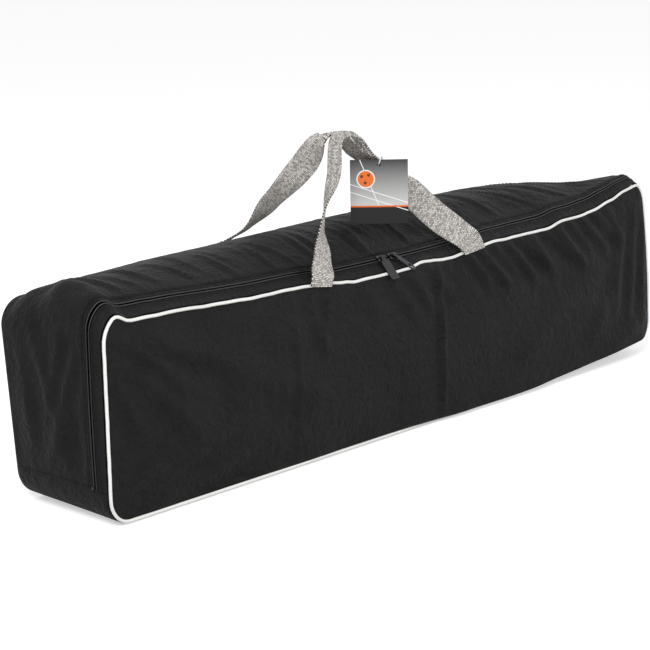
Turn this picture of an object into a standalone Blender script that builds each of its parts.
"""A portable pickleball net, packed in its zipped carry bag.

+X runs along the bag, the zipped front faces -Y, and +Z is up.  The origin lies
under the middle of the bag, on the surface that it stands on.  Lengths are in
metres.  The bag is drawn as a straight box first, and settle() then lets it sag.
"""
import math

import bmesh
import bpy
from mathutils import Matrix, Vector

# ---------------------------------------------------------------- the bag
BAG_LENGTH = 1.03
BAG_DEPTH = 0.155
FRONT_HEIGHT = 0.2065      # front seam at the lowest point of its sag
SEAM_LOW_X = -0.08         # where the front seam is lowest
SEAM_RADIUS = 5.5          # the sagging front seam is one long arc
BACK_HEIGHT = 0.236        # back seam at its highest point
CREST_X = 0.125            # where the back seam is highest
BACK_FALL = 0.0035         # its fall over half a bag length from there
BACK_SLOPE = 1.02          # how steeply the top comes down to the back seam
BACK_SLOPE_EASE = 0.52     # and how much flatter it gets towards the ends
SLUMP_START_X = 0.2        # right of here the top is slack
SLUMP_FRONT = 0.9          # how much of its rise behind the zip is lost at the end
SLUMP_BACK = 0.8           # how much of its slope down to the back seam is lost
SLUMP_DROP = 0.008         # how far the back seam drops at the end
SHELF_SLOPE = 0.84         # the strip with the zip leans back at 40 degrees
CORNER_RADIUS = 0.028
FRONT_BELLY = 0.010        # how far the two large panels bulge
END_BULGE = 0.005
END_LIFT = 0.020           # the right end rides up on the kit
LIFT_START_X = 0.19
FABRIC = 0.0012            # coated polyester with its lining
BEAD_RADIUS = 0.0022       # piping cord round the front panel
SEAM_GAP = 0.0004          # between two pieces that are sewn together

# ---------------------------------------------------------------- the zip
STRIP_WIDTH = 0.0120       # fabric strip in front of the zip
TAPE_SHOWN = 0.0040        # tape between the fabric's edge and the coil
COIL_WIDTH = 0.0022
COIL_HEIGHT = 0.0020
TAPE_THICKNESS = 0.0006
COIL_GAP = 0.0018          # between the two coils, for the slider's neck
ZIP_END_HEIGHT = 0.034     # above the base, where the zip ends on both ends
STOP_LENGTH = 0.0035
SLIDER_LENGTH = 0.0105
SLIDER_WIDTH = 0.0090
SLIDER_PLATE = 0.0011
SLIDER_CLEARANCE = 0.0008
SLIDER_NECK = 0.0010
BRIDGE_WIDTH = 0.0022
BRIDGE_HEIGHT = 0.0042
SLIDER_LEFT_X = -0.057
SLIDER_RIGHT_X = -0.036
TAB_THICKNESS = 0.0012
TAB_LENGTH = 0.033
SLEEVE_WIDTH = 0.0145
TAB_WIDTH = 0.0068
TAB_SKEW = 38.0            # degrees, how far the right tab lies to the side

# ---------------------------------------------------------------- handles
STRAP_WIDTH = 0.035
STRAP_THICKNESS = 0.0016
STRAP_LEFT_X = -0.183
STRAP_RIGHT_X = 0.105
GRIP_X = -0.095            # where the straps are highest
GRIP_Y = -0.030
GRIP_HEIGHT = 0.3765
TIE_X = -0.040             # where the tag's loop gathers the straps
TIE_Y = -0.036
TIE_HEIGHT = 0.334
GATHER_WIDTH = 0.016
GATHER_THICKNESS = 0.0050
STRAP_SPACING = 0.011      # from the middle of the grip to each strap
TAG_WIDTH = 0.070
TAG_HEIGHT = 0.078
TAG_THICKNESS = 0.0008
TAG_TURN = -48.0           # degrees, the way the card faces
TAG_HOLE_RADIUS = 0.0025
TAG_DROP = 0.006           # from the card's top edge to its hole
CORD_RADIUS = 0.0007
LOOP_SEAT = 0.0003         # between the loop and the edge of the hole that hangs on it

# ---------------------------------------------------------------- the kit
TUBE_RADIUS = 0.016
TUBE_WALL = 0.0012
TUBE_GAP = 0.0004          # between tubes that lie against each other
KIT_ROOM = 0.055           # the bag is this much longer than a rail with its spigot
SPIGOT_LENGTH = 0.045
RAIL_LENGTH = BAG_LENGTH - KIT_ROOM - SPIGOT_LENGTH
SPIGOT_RADIUS = 0.0142
BUTTON_RADIUS = 0.0036
BUTTON_RISE = 0.0016       # how far the button stands out of the spigot
BUTTON_FIT = 0.0004
BUTTON_BASE = 0.0015
BUTTON_FROM_END = 0.020
POST_STEP = 0.016          # an end post is this much shorter than a rail
CENTRE_SAG = 0.050         # and the centre post than an end post
END_POST_LENGTH = RAIL_LENGTH - POST_STEP
CENTRE_POST_LENGTH = END_POST_LENGTH - CENTRE_SAG
CAP_LIP = 0.004
CAP_PLUG = 0.018
FOOT_STEP = 0.015          # a foot bar is this much longer than half a rail
CENTRE_BAR_STEP = 0.080    # and the centre one this much shorter than that
FOOT_BAR_LENGTH = RAIL_LENGTH / 2 + FOOT_STEP
CENTRE_BAR_LENGTH = FOOT_BAR_LENGTH - CENTRE_BAR_STEP
BLOCK_LENGTH = 0.095
BLOCK_WIDTH = 0.044
BLOCK_HEIGHT = 0.050
BLOCK_BORE = 0.0166
NET_STEP = 0.170           # the net is rolled this much shorter than a rail
NET_LENGTH = RAIL_LENGTH - NET_STEP
NET_RADIUS = 0.060
NET_FROM_LEFT = 0.004
NET_EDGE = 0.006           # the rolled edge at the net's ends
NET_STEPS = 40             # faces round the net
NET_SEAT = 0.0001          # between the net's ties and the tubes that it lies on
TIE_STRAP_WIDTH = 0.030
TIE_STRAP_THICKNESS = 0.0015
TIE_STRAP_FROM_END = 0.16
BLOCK_FROM_NET = 0.016     # between the end of the net and the tee blocks
BLOCK_EDGE = 0.003
KIT_CLEARANCE = 0.0009

ROUND_STEPS = 20           # faces round a tube
BUTTON_STEPS = 12

HALF_LENGTH = BAG_LENGTH / 2
HALF_DEPTH = BAG_DEPTH / 2
LEAN = math.atan(SHELF_SLOPE)
COIL_START = STRIP_WIDTH + SEAM_GAP + TAPE_SHOWN + SEAM_GAP
REAR_COIL_START = COIL_START + COIL_WIDTH + COIL_GAP
ZIP_CENTRE = COIL_START + COIL_WIDTH + COIL_GAP / 2
REAR_TAPE_START = REAR_COIL_START + COIL_WIDTH + SEAM_GAP
REAR_FABRIC_START = REAR_TAPE_START + TAPE_SHOWN + SEAM_GAP
SHELF_DEPTH = REAR_FABRIC_START * math.cos(LEAN)


def start_scene():
    """Clear the file and make the collection that holds the parts."""
    for old in list(bpy.data.objects):
        bpy.data.objects.remove(old)
    parts = bpy.data.collections.new("portable_net")
    bpy.context.scene.collection.children.link(parts)
    return parts


PARTS = start_scene()


def material(name, colour, roughness, metallic=0.0):
    """A plain Principled BSDF in one colour."""
    made = bpy.data.materials.new(name)
    made.use_nodes = True
    shader = made.node_tree.nodes["Principled BSDF"]
    shader.inputs["Base Color"].default_value = (*colour, 1.0)
    shader.inputs["Roughness"].default_value = roughness
    shader.inputs["Metallic"].default_value = metallic
    return made


BLACK_FABRIC = material("black_fabric", (0.014, 0.014, 0.015), 0.6)
WHITE_PIPING = material("white_piping", (0.85, 0.85, 0.84), 0.5)
BLACK_TAPE = material("black_tape", (0.01, 0.01, 0.01), 0.8)
DARK_METAL = material("dark_metal", (0.16, 0.16, 0.16), 0.35, 1.0)
GREY_WEBBING = material("grey_webbing", (0.42, 0.40, 0.36), 0.8)
TAG_CARD = material("tag_card", (0.3, 0.3, 0.3), 0.4)
WHITE_CORD = material("white_cord", (0.8, 0.8, 0.8), 0.4)
TUBE_STEEL = material("tube_steel", (0.02, 0.02, 0.02), 0.4, 0.6)
BUTTON_STEEL = material("button_steel", (0.6, 0.6, 0.6), 0.25, 1.0)
BLACK_PLASTIC = material("black_plastic", (0.02, 0.02, 0.02), 0.5)
NET_TWINE = material("net_twine", (0.03, 0.03, 0.03), 0.9)


def add_object(name, mesh, look, smooth=40.0):
    """Put a mesh in the scene as a named part."""
    part = bpy.data.objects.new(name, mesh)
    PARTS.objects.link(part)
    mesh.materials.append(look)
    mesh.shade_smooth()
    mesh.set_sharp_from_angle(angle=math.radians(smooth))
    return part


def add_modifier(part, kind, **settings):
    modifier = part.modifiers.new(kind.title(), kind)
    for key, value in settings.items():
        setattr(modifier, key, value)
    return modifier


def combine(part, other, operation):
    """Boolean a passing object into the first one, and drop it."""
    bpy.context.view_layer.update()
    add_modifier(part, "BOOLEAN", operation=operation, solver="EXACT", object=other)
    bpy.context.view_layer.update()
    evaluated = part.evaluated_get(bpy.context.evaluated_depsgraph_get())
    result = bpy.data.meshes.new_from_object(evaluated)
    part.modifiers.clear()
    part.data = result
    bpy.data.objects.remove(other)


def union(part, other):
    combine(part, other, "UNION")


def subtract(part, cutter):
    combine(part, cutter, "DIFFERENCE")


# ---------------------------------------------------------------- the sag
def front_seam(x):
    return FRONT_HEIGHT + (x - SEAM_LOW_X) ** 2 / (2 * SEAM_RADIUS)


def base_height(x):
    lift = max(0.0, (x - LIFT_START_X) / (HALF_LENGTH - LIFT_START_X))
    return END_LIFT * lift ** 1.3


def top_height(x, y):
    """Height of the bag's top over the point x, y."""
    front = front_seam(x)
    depth = min(max(y + HALF_DEPTH, 0.0), BAG_DEPTH)
    if depth <= SHELF_DEPTH:
        return front + SHELF_SLOPE * depth
    reach = BAG_DEPTH - SHELF_DEPTH
    t = (depth - SHELF_DEPTH) / reach
    off = ((x - CREST_X) / HALF_LENGTH) ** 2
    slump = (max(0.0, x - SLUMP_START_X) / (HALF_LENGTH - SLUMP_START_X)) ** 2
    start = front + SHELF_SLOPE * SHELF_DEPTH
    end = BACK_HEIGHT - BACK_FALL * off - SLUMP_DROP * slump
    start_slope = SHELF_SLOPE * (1 - SLUMP_FRONT * slump)
    end_slope = -(BACK_SLOPE - BACK_SLOPE_EASE * off) * (1 - SLUMP_BACK * slump)
    rise = (2 * t ** 3 - 3 * t ** 2 + 1) * start + (3 * t ** 2 - 2 * t ** 3) * end
    turn = (t ** 3 - 2 * t ** 2 + t) * start_slope + (t ** 3 - t ** 2) * end_slope
    return rise + turn * reach


def settle(x, y, z):
    """Move a point of the straight box to its place on the sagging bag."""
    across = x / HALF_LENGTH
    deep = y / HALF_DEPTH
    up = z / FRONT_HEIGHT
    base = base_height(x)
    height = base + up * (top_height(x, y) - base)
    swell = 4 * up * (1 - up)
    belly = FRONT_BELLY * swell * max(0.0, 1 - across ** 6) * deep ** 9
    bulge = END_BULGE * swell * max(0.0, 1 - deep ** 2) * across ** 9
    return Vector((x + bulge, y + belly, height))


def outline_points(inset, steps_side, steps_corner, steps_long):
    """The box's outline in x and z, from the middle of the base, clockwise from the left."""
    half = HALF_LENGTH - inset
    radius = CORNER_RADIUS - inset
    low, high = inset, FRONT_HEIGHT - inset
    points = []
    corners = ((-1, 0), (-1, 1), (1, 1), (1, 0))
    for index, (side, upper) in enumerate(corners):
        centre_x = side * (half - radius)
        centre_z = high - radius if upper else low + radius
        start = math.radians((270, 180, 90, 0)[index])
        for step in range(steps_corner + 1):
            angle = start - math.radians(90) * step / steps_corner
            points.append((centre_x + radius * math.cos(angle), centre_z + radius * math.sin(angle)))
        following = corners[(index + 1) % 4]
        if index in (0, 2):
            end_z = low + radius if index == 2 else high - radius
            start_z = high - radius if index == 2 else low + radius
            for step in range(1, steps_side):
                points.append((side * half, start_z + (end_z - start_z) * step / steps_side))
        elif index == 1:
            for step in range(1, steps_long):
                t = step / steps_long
                points.append(((half - radius) * (2 * t - 1), high))
        else:
            for step in range(1, steps_long):
                t = step / steps_long
                points.append(((half - radius) * (1 - 2 * t), low))
    return points


def arch_outline(steps_side=6, steps_corner=5, steps_long=22):
    """The way of the zip: up the left end, along the top and down the right end."""
    centre_x = HALF_LENGTH - CORNER_RADIUS
    centre_z = FRONT_HEIGHT - CORNER_RADIUS
    left = []
    for step in range(steps_side):
        left.append((-HALF_LENGTH, ZIP_END_HEIGHT + (centre_z - ZIP_END_HEIGHT) * step / steps_side))
    for step in range(steps_corner):
        angle = math.radians(180 - 90 * step / steps_corner)
        left.append((-centre_x + CORNER_RADIUS * math.cos(angle),
                     centre_z + CORNER_RADIUS * math.sin(angle)))
    top = [(centre_x * (2 * step / steps_long - 1), FRONT_HEIGHT) for step in range(steps_long + 1)]
    right = [(-x, z) for x, z in reversed(left)]
    return left + top + right


def base_outline(steps_corner=5, steps_long=22):
    """The rest of the loop: round the right bottom corner, the base and the left corner."""
    centre_x = HALF_LENGTH - CORNER_RADIUS
    right = [(HALF_LENGTH, ZIP_END_HEIGHT - SEAM_GAP)]
    for step in range(steps_corner):
        angle = math.radians(-90 * step / steps_corner)
        right.append((centre_x + CORNER_RADIUS * math.cos(angle),
                      CORNER_RADIUS + CORNER_RADIUS * math.sin(angle)))
    bottom = [(centre_x * (1 - 2 * step / steps_long), 0.0) for step in range(steps_long + 1)]
    left = [(-x, z) for x, z in reversed(right)]
    return right + bottom + left


def end_share(x, z):
    """0 on the bag's top, 1 on its ends, and between them round the upper corners."""
    out = abs(x) - (HALF_LENGTH - CORNER_RADIUS)
    if out <= 0:
        return 0.0
    up = z - (FRONT_HEIGHT - CORNER_RADIUS)
    return 1.0 if up <= 0 else out / math.hypot(out, up)


def arch_place(station, distance):
    """The point of the gusset at this distance behind the front seam."""
    x, z = station
    share = end_share(x, z)
    along = math.cos(LEAN) * (1 - share) + share
    if distance is None:
        return settle(x, -HALF_DEPTH + (BEAD_RADIUS * (1 + share) / 2 + SEAM_GAP) * along, z)
    return settle(x, -HALF_DEPTH + distance * along, z)


def grid_mesh(name, columns, rows, place):
    """An open sheet: a grid whose points are moved to place(column, row)."""
    shape = bmesh.new()
    bmesh.ops.create_grid(shape, x_segments=columns, y_segments=rows, size=0.5)
    for vert in shape.verts:
        column = round((vert.co.x + 0.5) * columns)
        row = round((vert.co.y + 0.5) * rows)
        vert.co = place(column, row)
    mesh = bpy.data.meshes.new(name)
    shape.to_mesh(mesh)
    shape.free()
    return mesh


def sheet(name, columns, rows, place, look, thickness, offset=-1.0):
    part = add_object(name, grid_mesh(name, columns, rows, place), look)
    add_modifier(part, "SOLIDIFY", thickness=thickness, offset=offset)
    return part


def band(name, distances, look, thickness, offset=-1.0):
    """A strip of the zipped gusset between two distances from the front seam."""
    stations = arch_outline()
    return sheet(name, len(stations) - 1, len(distances) - 1,
                 lambda column, row: arch_place(stations[column], distances[row]),
                 look, thickness, offset)


def make_gusset():
    """The zipped gusset's fabric, tapes and coils, from the front seam to the back."""
    depth = BAG_DEPTH
    band("front_zip_strip", (None, STRIP_WIDTH * 0.6, STRIP_WIDTH), BLACK_FABRIC, FABRIC)
    front_tape = STRIP_WIDTH + SEAM_GAP
    band("front_zip_tape", (front_tape, front_tape + TAPE_SHOWN), BLACK_TAPE, TAPE_THICKNESS)
    band("front_zip_coil", (COIL_START, COIL_START + COIL_WIDTH), BLACK_TAPE, COIL_HEIGHT, 0.0)
    band("rear_zip_coil", (REAR_COIL_START, REAR_COIL_START + COIL_WIDTH), BLACK_TAPE,
         COIL_HEIGHT, 0.0)
    band("rear_zip_tape", (REAR_TAPE_START, REAR_TAPE_START + TAPE_SHOWN), BLACK_TAPE,
         TAPE_THICKNESS)
    stations = arch_outline()
    rows = 8

    def place(column, row):
        near = arch_place(stations[column], REAR_FABRIC_START)
        x, z = stations[column]
        share = end_share(x, z)
        start = REAR_FABRIC_START * (math.cos(LEAN) * (1 - share) + share)
        if row == 0:
            return near
        return settle(x, -HALF_DEPTH + start + (depth - start) * row / rows, z)

    sheet("rear_gusset", len(stations) - 1, rows, place, BLACK_FABRIC, FABRIC)


def make_base():
    stations = base_outline()
    front = -HALF_DEPTH + BEAD_RADIUS + SEAM_GAP
    rows = 4

    def place(column, row):
        x, z = stations[column]
        return settle(x, front + (HALF_DEPTH - front) * row / rows, z)

    sheet("base_panel", len(stations) - 1, rows, place, BLACK_FABRIC, FABRIC)


def make_panel(name, side, inset, middle_y):
    """A large panel: a grid with round corners that lies on the sagging bag."""
    columns, corner_rows, middle_rows = 26, 4, 5
    radius = CORNER_RADIUS - inset
    half = HALF_LENGTH - inset
    low, high = inset, FRONT_HEIGHT - inset
    levels = []
    for step in range(corner_rows):
        turn = math.radians(90 * step / corner_rows)
        levels.append((low + radius * (1 - math.cos(turn)), half - radius * (1 - math.sin(turn))))
    mirrored = [(low + high - z, width) for z, width in reversed(levels)]
    for step in range(middle_rows + 1):
        levels.append((low + radius + (high - low - 2 * radius) * step / middle_rows, half))
    levels += mirrored

    def place(column, row):
        z, width = levels[row]
        x = side * width * (2 * column / columns - 1)
        return settle(x, middle_y, z)

    return sheet(name, columns, len(levels) - 1, place, BLACK_FABRIC, FABRIC, 0.0)


def tube_curve(name, points, radius, look, cyclic=False, resolution=2):
    """A round cord or wire along points, closed at its ends or on itself."""
    curve = bpy.data.curves.new(name, "CURVE")
    curve.dimensions = "3D"
    curve.bevel_depth = radius
    curve.bevel_resolution = resolution
    curve.use_fill_caps = not cyclic
    spline = curve.splines.new("POLY")
    spline.points.add(len(points) - 1)
    for target, point in zip(spline.points, points):
        target.co = (*point, 1.0)
    spline.use_cyclic_u = cyclic
    part = bpy.data.objects.new(name, curve)
    PARTS.objects.link(part)
    curve.materials.append(look)
    return part


def make_piping():
    points = [settle(x, -HALF_DEPTH, z) for x, z in outline_points(BEAD_RADIUS, 8, 5, 22)]
    return tube_curve("front_piping", points, BEAD_RADIUS, WHITE_PIPING, True, 1)


# ---------------------------------------------------------------- solids
def box_mesh(name, low, high):
    """A box between two corners, from a unit cube."""
    shape = bmesh.new()
    bmesh.ops.create_cube(shape, size=1.0)
    low, high = Vector(low), Vector(high)
    for vert in shape.verts:
        vert.co = Vector([(low[i] + high[i]) / 2 + vert.co[i] * (high[i] - low[i]) for i in range(3)])
    mesh = bpy.data.meshes.new(name)
    shape.to_mesh(mesh)
    shape.free()
    return mesh


def rod_mesh(name, start, end, radius, steps=ROUND_STEPS):
    """A round rod from one point to another."""
    start, end = Vector(start), Vector(end)
    shape = bmesh.new()
    bmesh.ops.create_cone(shape, cap_ends=True, segments=steps, radius1=radius, radius2=radius,
                          depth=(end - start).length)
    turn = (end - start).to_track_quat("Z", "Y").to_matrix().to_4x4()
    bmesh.ops.transform(shape, matrix=Matrix.Translation((start + end) / 2) @ turn,
                        verts=shape.verts[:])
    mesh = bpy.data.meshes.new(name)
    shape.to_mesh(mesh)
    shape.free()
    return mesh


def helper(mesh):
    """A passing object for a Boolean."""
    part = bpy.data.objects.new("helper", mesh)
    PARTS.objects.link(part)
    return part


def flat_mesh(name, loops, thickness):
    """A flat outline with its holes, as a filled 2D curve made a mesh in x and y."""
    curve = bpy.data.curves.new(name, "CURVE")
    curve.dimensions = "2D"
    curve.fill_mode = "BOTH"
    curve.extrude = thickness / 2
    for loop in loops:
        spline = curve.splines.new("POLY")
        spline.points.add(len(loop) - 1)
        for target, point in zip(spline.points, loop):
            target.co = (point[0], point[1], 0.0, 1.0)
        spline.use_cyclic_u = True
    passing = bpy.data.objects.new(name, curve)
    PARTS.objects.link(passing)
    bpy.context.view_layer.update()
    evaluated = passing.evaluated_get(bpy.context.evaluated_depsgraph_get())
    mesh = bpy.data.meshes.new_from_object(evaluated)
    shape = bmesh.new()
    shape.from_mesh(mesh)
    bmesh.ops.remove_doubles(shape, verts=shape.verts[:], dist=0.00001)
    bmesh.ops.recalc_face_normals(shape, faces=shape.faces[:])
    shape.to_mesh(mesh)
    shape.free()
    bpy.data.objects.remove(passing)
    mesh.materials.clear()
    return mesh


def rounded_loop(width, height, radius, centre=(0.0, 0.0), steps=4):
    """A rectangle with round corners, anticlockwise."""
    points = []
    for corner in range(4):
        side = 1 if corner in (0, 3) else -1
        upper = 1 if corner in (0, 1) else -1
        for step in range(steps + 1):
            angle = math.radians(90 * corner + 90 * step / steps)
            points.append((centre[0] + side * (width / 2 - radius) + radius * math.cos(angle),
                           centre[1] + upper * (height / 2 - radius) + radius * math.sin(angle)))
    return points


# ---------------------------------------------------------------- sliders
BAR_RADIUS = 0.0007
KNUCKLE_BORE = BAR_RADIUS + 0.0003
KNUCKLE_RADIUS = 0.0018
PLATE_LOW = COIL_HEIGHT / 2 + SLIDER_CLEARANCE
PLATE_TOP = PLATE_LOW + SLIDER_PLATE
BAR_RISE = PLATE_TOP + KNUCKLE_RADIUS + 0.0005
POST_LENGTH = 0.0014


def slider_frame(x):
    """Where a slider sits: +X along the zip, +Y up the slope, +Z out of the bag."""
    y = -HALF_DEPTH + ZIP_CENTRE * math.cos(LEAN)
    origin = Vector((x, y, top_height(x, y)))
    return Matrix.Translation(origin) @ Matrix.Rotation(LEAN, 4, "X")


def make_slider(name, x):
    """A slider whose lower plate is open to the rear, and the bar that its tab hangs on."""
    half, length = SLIDER_WIDTH / 2, SLIDER_LENGTH / 2
    neck = SLIDER_NECK / 2
    part = add_object(name, box_mesh(name, (-length, -half, PLATE_LOW), (length, half, PLATE_TOP)),
                      DARK_METAL)
    add_modifier(part, "BEVEL", width=0.0004, segments=1)
    overlap = 0.0003
    union(part, helper(box_mesh("neck", (-length * 0.6, -neck, -PLATE_TOP + overlap),
                                (length * 0.6, neck, PLATE_LOW + overlap))))
    union(part, helper(box_mesh("lower", (-length, -half, -PLATE_TOP), (length, neck, -PLATE_LOW))))
    bar_end = length - POST_LENGTH / 2
    for side in (-1, 1):
        post = box_mesh("post", (side * bar_end - POST_LENGTH / 2, -BRIDGE_WIDTH / 2,
                                 PLATE_TOP - overlap),
                        (side * bar_end + POST_LENGTH / 2, BRIDGE_WIDTH / 2,
                         BAR_RISE + BRIDGE_WIDTH / 2))
        union(part, helper(post))
    union(part, helper(rod_mesh("bar", (-bar_end, 0, BAR_RISE), (bar_end, 0, BAR_RISE),
                                BAR_RADIUS, 8)))
    part.data.name = name
    part.matrix_world = slider_frame(x)
    return part


def tab_frame(x):
    """On the bar's axis, with +Y pointing along the hanging tab, which lies on the piping."""
    bar = slider_frame(x) @ Vector((0, 0, BAR_RISE))
    bead = settle(x, -HALF_DEPTH, FRONT_HEIGHT - BEAD_RADIUS)
    reach = BEAD_RADIUS + TAB_THICKNESS / 2 + SEAM_GAP
    bead_y = bar.y - bead.y
    bead_z = bar.z - bead.z
    down = math.atan2(bead_z, bead_y) - math.asin(reach / math.hypot(bead_y, bead_z))
    direction = Vector((0, -math.cos(down), -math.sin(down)))
    normal = Vector((1, 0, 0)).cross(direction)
    turn = Matrix((Vector((1, 0, 0)), direction, normal)).transposed().to_4x4()
    return Matrix.Translation(bar) @ turn


def make_tab(name, x, width, skew, holed):
    """A pull tab: a knuckle round the slider's bar and a flat grip below it."""
    knuckle_length = SLIDER_LENGTH - 2 * POST_LENGTH - 0.0010
    half = knuckle_length / 2
    part = add_object(name, rod_mesh(name, (-half, 0, 0), (half, 0, 0), KNUCKLE_RADIUS, 12),
                      DARK_METAL if holed else BLACK_PLASTIC)
    neck_length = 0.0060
    grip_middle = (TAB_LENGTH + neck_length) / 2
    loops = [rounded_loop(width, TAB_LENGTH - neck_length, 0.0022, (0, grip_middle))]
    if holed:
        loops.append(rounded_loop(width * 0.42, TAB_LENGTH * 0.26, width * 0.2,
                                  (0, TAB_LENGTH * 0.80)))
    grip = helper(flat_mesh("grip", loops, TAB_THICKNESS))
    grip.data.transform(Matrix.Rotation(math.radians(skew), 4, "Z"))
    arm_width = min(width * 0.6, knuckle_length)
    arm = helper(box_mesh("arm", (-arm_width / 2, 0.0, -TAB_THICKNESS / 2 + 0.0001),
                          (arm_width / 2, neck_length + 0.002, TAB_THICKNESS / 2 - 0.0001)))
    arm.data.transform(Matrix.Rotation(math.radians(skew), 4, "Z"))
    union(part, arm)
    union(part, grip)
    bore = rod_mesh("bore", (-SLIDER_LENGTH, 0, 0), (SLIDER_LENGTH, 0, 0), KNUCKLE_BORE, 12)
    subtract(part, helper(bore))
    part.data.name = name
    part.matrix_world = tab_frame(x)
    return part


# ---------------------------------------------------------------- handles
def smooth_stations(stations, steps):
    """Finer stations on a smooth way through the given ones, eased by their distances."""
    places = [Vector(station[:3]) for station in stations]
    gaps = [(b - a).length for a, b in zip(places, places[1:])]
    last = len(stations) - 1
    slopes = []
    for index in range(last + 1):
        low, high = max(index - 1, 0), min(index + 1, last)
        reach = sum(gaps[low:high])
        run = [(stations[high][k] - stations[low][k]) / reach for k in range(3)]
        slopes.append(run + [0.0] * 5)
    finer = []
    for index in range(last):
        start, end, gap = stations[index], stations[index + 1], gaps[index]
        for step in range(steps):
            t = step / steps
            rise = 3 * t ** 2 - 2 * t ** 3
            leave = (t ** 3 - 2 * t ** 2 + t) * gap
            arrive = (t ** 3 - t ** 2) * gap
            finer.append([start[k] + (end[k] - start[k]) * rise + slopes[index][k] * leave
                          + slopes[index + 1][k] * arrive for k in range(8)])
    finer.append(list(stations[-1]))
    return finer


def strap_mesh(name, stations):
    """Webbing lofted through stations of place, width direction, width and thickness."""
    finer = smooth_stations(stations, 4)
    shape = bmesh.new()
    rings = []
    for index, station in enumerate(finer):
        place = Vector(station[:3])
        ahead = Vector(finer[min(index + 1, len(finer) - 1)][:3])
        behind = Vector(finer[max(index - 1, 0)][:3])
        along = (ahead - behind).normalized()
        wide = Vector(station[3:6])
        wide = (wide - wide.dot(along) * along).normalized()
        thick = along.cross(wide).normalized()
        half_width, half_thick = station[6] / 2, station[7] / 2
        corners = ((1, 1), (-1, 1), (-1, -1), (1, -1))
        rings.append([shape.verts.new(place + a * half_width * wide + b * half_thick * thick)
                      for a, b in corners])
    for ring, following in zip(rings, rings[1:]):
        for k in range(4):
            shape.faces.new((ring[k], ring[(k + 1) % 4], following[(k + 1) % 4], following[k]))
    shape.faces.new(rings[0][::-1])
    shape.faces.new(rings[-1])
    bmesh.ops.recalc_face_normals(shape, faces=shape.faces[:])
    mesh = bpy.data.meshes.new(name)
    shape.to_mesh(mesh)
    shape.free()
    return mesh


def between(start, end, share):
    return [a + (b - a) * share for a, b in zip(start, end)]


def handle_stations(side, foot_y, left_z, right_z):
    """The way of one carry strap; side is -1 for the front one and 1 for the back one."""
    flat, gathered = STRAP_WIDTH, GATHER_WIDTH
    thin, thick = STRAP_THICKNESS, GATHER_THICKNESS
    gap = side * STRAP_SPACING
    rise = 0.013
    left = (STRAP_LEFT_X, foot_y, left_z)
    right = (STRAP_RIGHT_X, foot_y, right_z)
    grip = (GRIP_X, GRIP_Y + gap, GRIP_HEIGHT)
    tie = (TIE_X, TIE_Y + gap, TIE_HEIGHT)
    return [
        (*left, 1, 0, 0, flat, thin),
        (STRAP_LEFT_X + 0.001, foot_y, left_z + rise * 0.5, 1, 0, 0, flat, thin),
        (STRAP_LEFT_X + 0.003, foot_y * 0.995, left_z + rise, 1, 0, 0, flat, thin),
        (*between(left, grip, 0.20), 0.97, -0.2 * side, -0.1, flat, thin),
        (*between(left, grip, 0.42), 0.75, -0.6 * side, -0.3, flat, thin),
        (*between(left, grip, 0.72), 0.2, -0.9 * side, -0.2, flat * 0.8, thin * 1.3),
        (GRIP_X - 0.014, GRIP_Y + gap * 1.15, GRIP_HEIGHT - 0.006, 0.05, -1 * side, 0.15,
         flat * 0.56, thin * 1.8),
        (GRIP_X + 0.014, GRIP_Y + gap * 1.15, GRIP_HEIGHT - 0.005, -0.05, -1 * side, 0.25,
         flat * 0.56, thin * 1.8),
        (*between(grip, tie, 0.66), -0.1, -1 * side, 0.2, flat * 0.54, thick * 0.7),
        (*tie, 0, -1 * side, 0, gathered, thick),
        (*between(tie, right, 0.16), 0.3, -1 * side, 0.1, flat * 0.6, thick * 0.6),
        (*between(tie, right, 0.52), 0.8, -0.45 * side, 0.3, flat, thin),
        (STRAP_RIGHT_X - 0.003, foot_y * (0.955 if side > 0 else 0.995), right_z + rise,
         1, 0, 0.05, flat, thin),
        (STRAP_RIGHT_X - 0.001, foot_y, right_z + rise * 0.5, 1, 0, 0, flat, thin),
        (*right, 1, 0, 0, flat, thin),
    ]


FOOT_DROP = 2 * BEAD_RADIUS                # the straps' feet lie this far below the seams
FRONT_FOOT_Y = (settle(STRAP_LEFT_X, -HALF_DEPTH, FRONT_HEIGHT - BEAD_RADIUS).y
                - BEAD_RADIUS - STRAP_THICKNESS / 2 - SEAM_GAP)
FRONT_STRAP = handle_stations(-1, FRONT_FOOT_Y, front_seam(STRAP_LEFT_X) - FOOT_DROP,
                              front_seam(STRAP_RIGHT_X) - FOOT_DROP)


BACK_FOOT_LOW = 1 - 1.5 * FOOT_DROP / FRONT_HEIGHT
BACK_FOOT_Y = (HALF_DEPTH + FRONT_BELLY * 4 * BACK_FOOT_LOW * (1 - BACK_FOOT_LOW)
               + (FABRIC + STRAP_THICKNESS) / 2 + SEAM_GAP)
BACK_STRAP = handle_stations(1, BACK_FOOT_Y, top_height(STRAP_LEFT_X, HALF_DEPTH) - FOOT_DROP,
                             top_height(STRAP_RIGHT_X, HALF_DEPTH) - FOOT_DROP)


def make_handles():
    add_object("front_handle", strap_mesh("front_handle", FRONT_STRAP), GREY_WEBBING)
    add_object("back_handle", strap_mesh("back_handle", BACK_STRAP), GREY_WEBBING)


TAG_ACROSS = Vector((math.cos(math.radians(TAG_TURN)), math.sin(math.radians(TAG_TURN)), 0))
TAG_FACING = Vector((math.sin(math.radians(TAG_TURN)), -math.cos(math.radians(TAG_TURN)), 0))
TAG_FORWARD = 0.018        # from the gathered front strap to the card
TAG_BELOW = -0.001         # the card's hole hangs this far below the tie


def tag_hole():
    tie = Vector((TIE_X, TIE_Y - STRAP_SPACING, TIE_HEIGHT))
    return tie + TAG_FACING * TAG_FORWARD - Vector((0, 0, TAG_BELOW))


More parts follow.
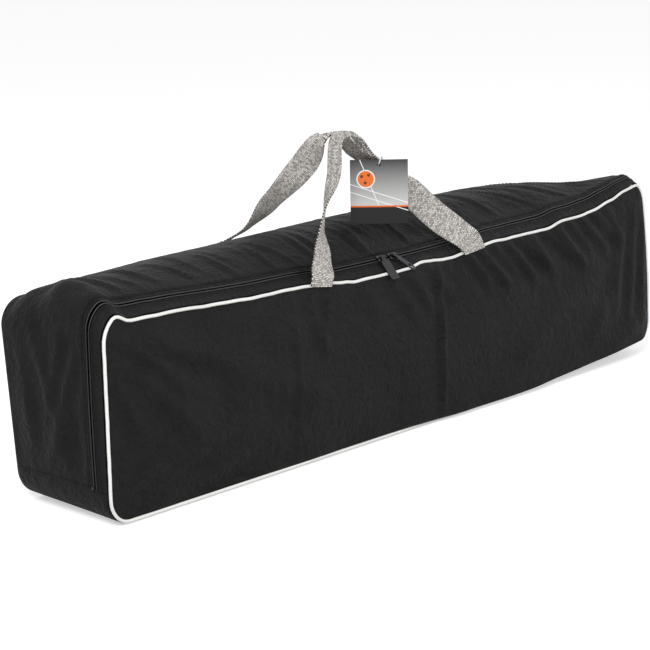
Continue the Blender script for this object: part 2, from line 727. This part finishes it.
def make_tag():
    """The card, and the loop of cord that runs round the front strap and through the card."""
    hole = [(TAG_HOLE_RADIUS * math.cos(math.radians(30 * k)),
             TAG_HOLE_RADIUS * math.sin(math.radians(30 * k))) for k in range(12)]
    card = rounded_loop(TAG_WIDTH, TAG_HEIGHT, 0.0012, (0, TAG_DROP - TAG_HEIGHT / 2), 2)
    mesh = flat_mesh("hang_tag", [card, hole], TAG_THICKNESS)
    part = add_object("hang_tag", mesh, TAG_CARD)
    turn = Matrix((TAG_ACROSS, Vector((0, 0, 1)), TAG_FACING)).transposed().to_4x4()
    part.matrix_world = Matrix.Translation(tag_hole()) @ turn

    tie = Vector((TIE_X, TIE_Y - STRAP_SPACING, TIE_HEIGHT))
    spots = [Vector(station[:3]) for station in FRONT_STRAP]
    at = spots.index(tie)
    along = (spots[at + 1] - spots[at - 1]).normalized()
    across = (Vector((0, 1, 0)) - along.y * along).normalized()
    up = along.cross(across)
    clear = CORD_RADIUS + SEAM_GAP
    out = GATHER_WIDTH / 2 + clear
    high = GATHER_THICKNESS / 2 + clear + 0.0009
    spot = tag_hole()
    hung = spot + Vector((0, 0, TAG_HOLE_RADIUS - CORD_RADIUS - LOOP_SEAT))
    over = Vector((0, 0, TAG_DROP + 2 * CORD_RADIUS + 0.001))
    points = [
        tie + across * out + up * high, tie + up * (high + 0.0006), tie - across * out + up * high,
        tie - across * (out + 0.001), tie - across * out - up * (high + 0.001),
        spot - TAG_FACING * 0.004 + TAG_ACROSS * 0.004 + over,
        spot - TAG_FACING * 0.0015 + TAG_ACROSS * 0.003 + over * 1.1,
        spot + TAG_FACING * 0.0025 + TAG_ACROSS * 0.002 + over * 1.05,
        spot + TAG_FACING * 0.0045 + TAG_ACROSS * 0.001 + over * 0.5,
        hung + TAG_FACING * 0.0028, hung, hung - TAG_FACING * 0.003,
        (spot - TAG_FACING * 0.006 + tie - up * (high + 0.001)) / 2 - Vector((0, 0, 0.003)),
        tie + across * out * 0.3 - up * (high + 0.0015), tie + across * out - up * high,
        tie + across * (out + 0.001),
    ]
    return tube_curve("tag_loop", points, CORD_RADIUS, WHITE_CORD, True, 1)


# ---------------------------------------------------------------- the kit
def turned(name, profile, look, closed=True, steps=ROUND_STEPS):
    """A turned piece about its own Z from a profile of (radius, height) points."""
    shape = bmesh.new()
    verts = [shape.verts.new((radius, 0, height)) for radius, height in profile]
    for start, end in zip(verts, verts[1:]):
        shape.edges.new((start, end))
    if closed:
        shape.edges.new((verts[-1], verts[0]))
    mesh = bpy.data.meshes.new(name)
    shape.to_mesh(mesh)
    shape.free()
    part = add_object(name, mesh, look)
    add_modifier(part, "SCREW", steps=steps, render_steps=steps, angle=math.tau,
                 use_merge_vertices=True, merge_threshold=0.00001, use_smooth_shade=True)
    return part


def freeze(part):
    """Turn a part's modifiers into its mesh, so that it can be cut."""
    bpy.context.view_layer.update()
    evaluated = part.evaluated_get(bpy.context.evaluated_depsgraph_get())
    frozen = bpy.data.meshes.new_from_object(evaluated)
    part.modifiers.clear()
    part.data = frozen
    frozen.name = part.name
    return part


KIT_LEFT = -HALF_LENGTH + 0.027
PITCH = 2 * TUBE_RADIUS + TUBE_GAP
ROW_RISE = PITCH * math.sin(math.radians(60))
RAIL_REACH = RAIL_LENGTH + SPIGOT_LENGTH
KIT_SLOPE = (base_height(KIT_LEFT + RAIL_REACH) + KIT_CLEARANCE) / RAIL_REACH
ROW_3_TOP = 2 * ROW_RISE + 2 * TUBE_RADIUS


def make_kit_frame():
    """An empty at the left end of the kit's underside, tipped up with the bag's right end."""
    frame = bpy.data.objects.new("kit_frame", None)
    PARTS.objects.link(frame)
    frame.location = (KIT_LEFT, 0, FABRIC + KIT_CLEARANCE)
    frame.rotation_euler = (0, -math.atan(KIT_SLOPE), 0)
    return frame


KIT = make_kit_frame()


def lay(part, along, y, z, roll=0.0, flip=False):
    """Lay a piece in the kit with its own Z along the bag."""
    part.parent = KIT
    part.location = (along, y, z)
    turn = Matrix.Rotation(math.radians(-90 if flip else 90), 4, "Y")
    part.rotation_euler = (turn @ Matrix.Rotation(math.radians(roll), 4, "Z")).to_euler()


def lane(row, index, count):
    """The middle of a tube: its y and z in the kit, with each row in the dents of the last."""
    return PITCH * (index - (count - 1) / 2), TUBE_RADIUS + row * ROW_RISE


TUBE_BORE = TUBE_RADIUS - TUBE_WALL
SPIGOT_BORE = SPIGOT_RADIUS - TUBE_WALL


def make_rail(name, y, z):
    """A rail tube: a socket at one end, a spigot with a sprung button at the other."""
    tip = RAIL_REACH
    profile = [(SPIGOT_RADIUS, tip), (SPIGOT_RADIUS, RAIL_LENGTH), (TUBE_RADIUS, RAIL_LENGTH),
               (TUBE_RADIUS, 0), (TUBE_BORE, 0), (TUBE_BORE, RAIL_LENGTH - 2 * TUBE_WALL),
               (SPIGOT_BORE, RAIL_LENGTH - 2 * TUBE_WALL), (SPIGOT_BORE, tip)]
    rail = freeze(turned(name, profile, TUBE_STEEL))
    hole = BUTTON_RADIUS + BUTTON_FIT
    for height in (tip - BUTTON_FROM_END, SPIGOT_LENGTH - BUTTON_FROM_END):
        subtract(rail, helper(rod_mesh("hole", (0, 0, height), (-TUBE_RADIUS * 1.5, 0, height),
                                       hole, 12)))
    rail.data.name = name
    lay(rail, 0, y, z)
    base = math.sqrt(SPIGOT_BORE ** 2 - (BUTTON_RADIUS + BUTTON_BASE) ** 2) - BUTTON_FIT
    top = SPIGOT_RADIUS + BUTTON_RISE
    profile = [(0, top), (BUTTON_RADIUS * 0.7, top), (BUTTON_RADIUS, top - 0.0008),
               (BUTTON_RADIUS, base), (BUTTON_RADIUS + BUTTON_BASE, base),
               (BUTTON_RADIUS + BUTTON_BASE, base - BUTTON_BASE), (0, base - BUTTON_BASE)]
    button = turned(name.replace("rail", "button"), profile, BUTTON_STEEL, False, BUTTON_STEPS)
    button.parent = KIT
    button.location = (tip - BUTTON_FROM_END, y, z)


def make_cap(name, along, y, z, flip):
    """A plastic cap: a rim that covers the tube's end, and a plug inside it."""
    plug = TUBE_BORE - TUBE_GAP
    profile = [(0, CAP_LIP), (TUBE_RADIUS * 0.85, CAP_LIP), (TUBE_RADIUS, CAP_LIP * 0.4),
               (TUBE_RADIUS, TUBE_GAP), (plug, TUBE_GAP), (plug, -CAP_PLUG), (0, -CAP_PLUG)]
    lay(turned(name, profile, BLACK_PLASTIC, False), along, y, z, flip=flip)


def make_tube(name, length, along, y, z):
    profile = [(TUBE_RADIUS, length), (TUBE_RADIUS, 0), (TUBE_BORE, 0), (TUBE_BORE, length)]
    lay(turned(name, profile, TUBE_STEEL), along, y, z)


def make_tubes():
    row = [lane(0, index, 4) for index in range(4)] + [lane(1, index, 3) for index in (0, 2)]
    for number, (y, z) in enumerate(row, 1):
        make_rail(f"rail_{number}", y, z)
    y, z = lane(1, 1, 3)
    make_tube("centre_post", CENTRE_POST_LENGTH, 0, y, z)
    make_cap("centre_post_cap", CENTRE_POST_LENGTH, y, z, False)
    for side, index in (("left", 0), ("right", 3)):
        y, z = lane(2, index, 4)
        make_tube(f"{side}_post", END_POST_LENGTH, 0, y, z)
        make_cap(f"{side}_post_cap", END_POST_LENGTH, y, z, False)
    for name, length, along, index in (
            ("left_foot", FOOT_BAR_LENGTH, CAP_LIP, 1), ("right_foot", FOOT_BAR_LENGTH, CAP_LIP, 2),
            ("centre_foot", CENTRE_BAR_LENGTH, FOOT_BAR_LENGTH + 4 * CAP_LIP, 1)):
        y, z = lane(2, index, 4)
        make_tube(f"{name}_bar", length, along, y, z)
        make_cap(f"{name}_cap_a", along, y, z, True)
        make_cap(f"{name}_cap_b", along + length, y, z, False)


BLOCK_AT = NET_FROM_LEFT + NET_LENGTH + BLOCK_FROM_NET


def make_block(name, index):
    """A tee block: one bore for the foot bar, one from above for the post."""
    y = (index - 1) * (BLOCK_WIDTH + 2 * TUBE_GAP)
    low = ROW_3_TOP + TUBE_GAP
    half = BLOCK_WIDTH / 2
    block = add_object(name, box_mesh(name, (0, -half, 0), (BLOCK_LENGTH, half, BLOCK_HEIGHT)),
                       BLACK_PLASTIC)
    add_modifier(block, "BEVEL", width=BLOCK_EDGE, segments=2)
    middle = BLOCK_LENGTH / 2
    bore_z = BLOCK_HEIGHT / 2
    union_cut = rod_mesh("bore", (-0.01, 0, bore_z), (BLOCK_LENGTH + 0.01, 0, bore_z), BLOCK_BORE)
    subtract(block, helper(union_cut))
    subtract(block, helper(rod_mesh("socket", (middle, 0, bore_z), (middle, 0, BLOCK_HEIGHT + 0.01),
                                    BLOCK_BORE - 0.0001)))
    block.data.name = name
    block.parent = KIT
    block.location = (BLOCK_AT, y, low)


def make_net():
    """The rolled net, and the two straps that hold the roll."""
    inner = NET_RADIUS + TUBE_GAP
    outer = inner + TIE_STRAP_THICKNESS
    right_y, tube_z = lane(2, 2, 4)
    reach = outer + NET_SEAT + TUBE_RADIUS
    middle_z = tube_z + math.sqrt(reach ** 2 - right_y ** 2)
    ease = NET_EDGE
    profile = [(0, NET_LENGTH), (NET_RADIUS - ease, NET_LENGTH), (NET_RADIUS, NET_LENGTH - ease),
               (NET_RADIUS, ease), (NET_RADIUS - ease, 0), (0, 0)]
    lay(turned("net_roll", profile, NET_TWINE, False, NET_STEPS), NET_FROM_LEFT, 0, middle_z)
    profile = [(outer, TIE_STRAP_WIDTH), (outer, 0), (inner, 0), (inner, TIE_STRAP_WIDTH)]
    for number, along in ((1, TIE_STRAP_FROM_END), (2, NET_LENGTH - TIE_STRAP_FROM_END)):
        tie = turned(f"net_tie_{number}", profile, BLACK_TAPE, steps=NET_STEPS)
        lay(tie, NET_FROM_LEFT + along, 0, middle_z)


def make_zip_stops():
    """Small metal clamps at the ends of the rear coil, just above the base panel's edge."""
    width = COIL_WIDTH / 2 + 0.0002
    y = -HALF_DEPTH + REAR_COIL_START + COIL_WIDTH / 2
    for name, side in (("zip_stop_left", -1), ("zip_stop_right", 1)):
        low = settle(side * HALF_LENGTH, y, ZIP_END_HEIGHT)
        near = side * (COIL_HEIGHT / 2 + SEAM_GAP)
        far = near + side * 0.0008
        xs = sorted((low.x + near, low.x + far))
        mesh = box_mesh(name, (xs[0], low.y - width, low.z), (xs[1], low.y + width,
                                                            low.z + STOP_LENGTH))
        add_object(name, mesh, DARK_METAL)


# ---------------------------------------------------------------- the axes
def carry(carrier, *names):
    """Hang pieces on the object that they move with, without moving them."""
    bpy.context.view_layer.update()
    for name in names:
        part = bpy.data.objects[name]
        part.parent = carrier
        part.matrix_parent_inverse = carrier.matrix_world.inverted()


def make_axis(name, place, *names):
    """An empty on the axis that these pieces turn about."""
    axis = bpy.data.objects.new(name, None)
    PARTS.objects.link(axis)
    axis.location = place
    carry(axis, *names)
    return axis


def make_axes():
    """The front folds down about its bottom seam, and carries the zip and its own strap."""
    middle = slider_frame(SEAM_LOW_X).translation
    make_axis("zip_arc", middle + Vector((0, 0, SEAM_RADIUS)), "slider_left", "slider_right")
    carry(bpy.data.objects["slider_left"], "pull_tab_left")
    carry(bpy.data.objects["slider_right"], "pull_tab_right")
    outer_face = STRAP_THICKNESS / 2
    front_foot = front_seam(STRAP_LEFT_X) - FOOT_DROP - STRAP_THICKNESS
    make_axis("front_handle_axis", (0, FRONT_FOOT_Y - outer_face, front_foot), "front_handle",
              "tag_loop", "hang_tag")
    back_foot = top_height(STRAP_LEFT_X, HALF_DEPTH) - FOOT_DROP - STRAP_THICKNESS
    make_axis("back_handle_axis", (0, BACK_FOOT_Y + outer_face, back_foot), "back_handle")
    make_axis("front_hinge", (0, -HALF_DEPTH, BEAD_RADIUS), "front_panel", "front_piping",
              "front_zip_strip", "front_zip_tape", "front_zip_coil", "zip_arc",
              "front_handle_axis")


make_panel("front_panel", 1, 2 * BEAD_RADIUS + SEAM_GAP, -HALF_DEPTH)
make_panel("back_panel", -1, FABRIC + SEAM_GAP, HALF_DEPTH)
make_gusset()
make_base()
make_piping()
make_zip_stops()
make_slider("slider_left", SLIDER_LEFT_X)
make_slider("slider_right", SLIDER_RIGHT_X)
make_tab("pull_tab_left", SLIDER_LEFT_X, SLEEVE_WIDTH, 0.0, False)
make_tab("pull_tab_right", SLIDER_RIGHT_X, TAB_WIDTH, -TAB_SKEW, True)
make_handles()
make_tag()
make_tubes()
for place_in_row, block_name in enumerate(("left_tee", "centre_tee", "right_tee")):
    make_block(block_name, place_in_row)
make_net()
make_axes()
